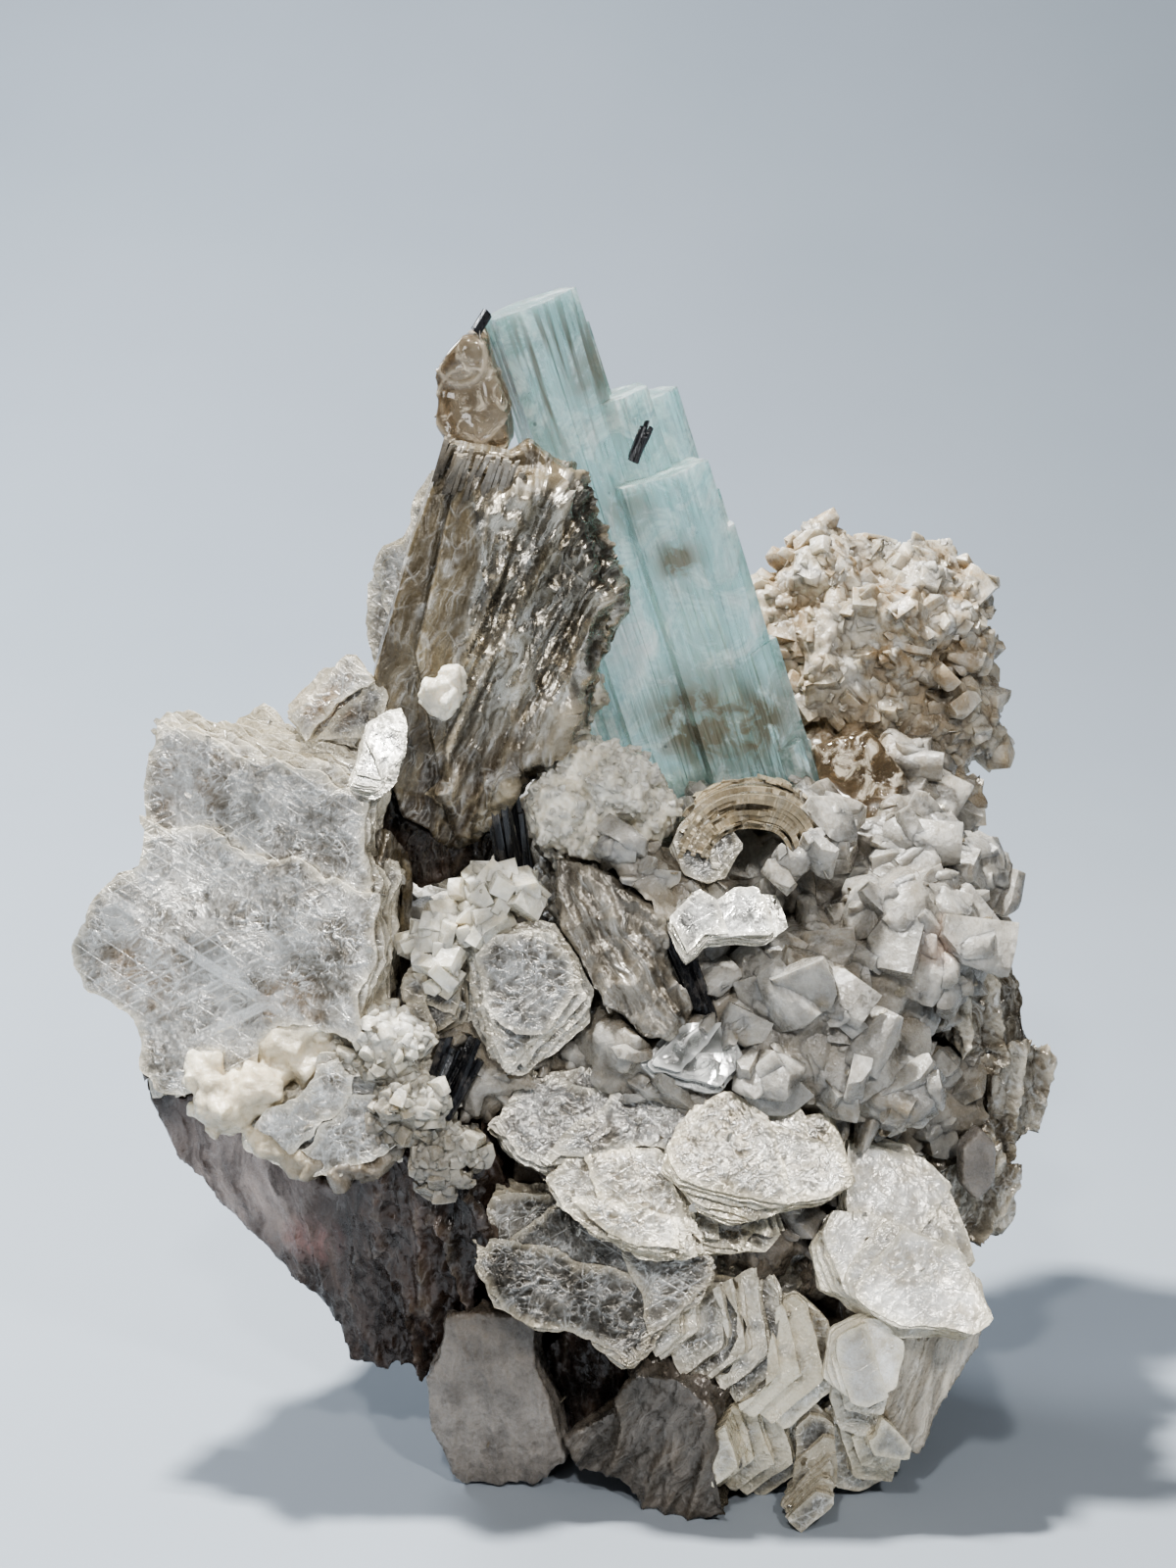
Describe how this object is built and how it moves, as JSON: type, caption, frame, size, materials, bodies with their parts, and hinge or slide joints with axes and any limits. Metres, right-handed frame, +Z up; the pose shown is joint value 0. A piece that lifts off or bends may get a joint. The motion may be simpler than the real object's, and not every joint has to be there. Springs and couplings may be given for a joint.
{
  "type": "aquamarine crystal specimen",
  "caption": "Pale blue aquamarine prisms standing in a matrix of mica books, white albite and black schorl, resting on a flat base.",
  "frame": {"origin": "on the flat base of the albite matrix, the face that the specimen rests on, below the aquamarine crystals", "axes": "+Z up, +X to the right as seen from the front, -Y towards the front"},
  "size_m": [0.0794, 0.0484, 0.0966],
  "materials": {
    "aquamarine": "clear to cloudy pale blue-green crystal, striated along its length",
    "schorl": "glossy black, finely striated",
    "mica_silver": "silvery pearly cleavage sheets with layered edges",
    "mica_brown": "brown layered mica, fibrous on its edges",
    "mica_cream": "cream to grey pearly mica",
    "albite": "white sugary feldspar, slightly translucent"
  },
  "bodies": {
    "root": {"albite_blade": "albite", "albite_blade_right": "albite", "albite_cream_lump": "albite", "albite_matrix": "albite", "albite_on_tall_book": "albite", "albite_ridge": "albite", "albite_small_crystals": "albite", "albite_under_crystal": "albite", "albite_upper_mass": "albite", "aquamarine_crystals": "aquamarine", "mica_back_centre": "mica_silver", "mica_back_left": "mica_silver", "mica_back_right": "mica_cream", "mica_behind_tall_book": "mica_silver", "mica_below_tall_book": "mica_brown", "mica_bright_flake": "mica_cream", "mica_brown_base": "mica_brown", "mica_cave_flake": "mica_silver", "mica_cavity_plate": "mica_silver", "mica_centre_plate": "mica_silver", "mica_centre_small": "mica_silver", "mica_clear_flake": "mica_silver", "mica_curved_book": "mica_brown", "mica_diagonal_book": "mica_cream", "mica_end_book_cream": "mica_cream", "mica_end_book_grey": "mica_cream", "mica_end_book_right": "mica_cream", "mica_fan_1": "mica_cream", "mica_fan_2": "mica_cream", "mica_fan_3": "mica_cream", "mica_fan_4": "mica_cream", "mica_fan_dark": "mica_brown", "mica_front_plate": "mica_silver", "mica_front_upper_plate": "mica_cream", "mica_ledge": "mica_cream", "mica_ledge_step": "mica_cream", "mica_left_edge_book": "mica_silver", "mica_left_plate": "mica_silver", "mica_left_tip": "mica_silver", "mica_ridge_plate": "mica_silver", "mica_right_bottom": "mica_cream", "mica_right_lower": "mica_cream", "mica_right_upper": "mica_cream", "mica_rosette_cap": "mica_cream", "mica_rosette_flake": "mica_cream", "mica_rosette_side": "mica_cream", "mica_rosette_top": "mica_cream", "mica_saddle": "mica_brown", "mica_shelf": "mica_silver", "mica_side_book": "mica_brown", "mica_silver_flake": "mica_silver", "mica_tall_book": "mica_brown", "mica_tip_knot": "mica_brown", "mica_under_ledge": "mica_cream", "schorl_at_tip": "schorl", "schorl_below_tall_book": "schorl", "schorl_lower_left": "schorl", "schorl_on_crystal": "schorl", "schorl_right_of_centre": "schorl"}
  },
  "joints": []
}
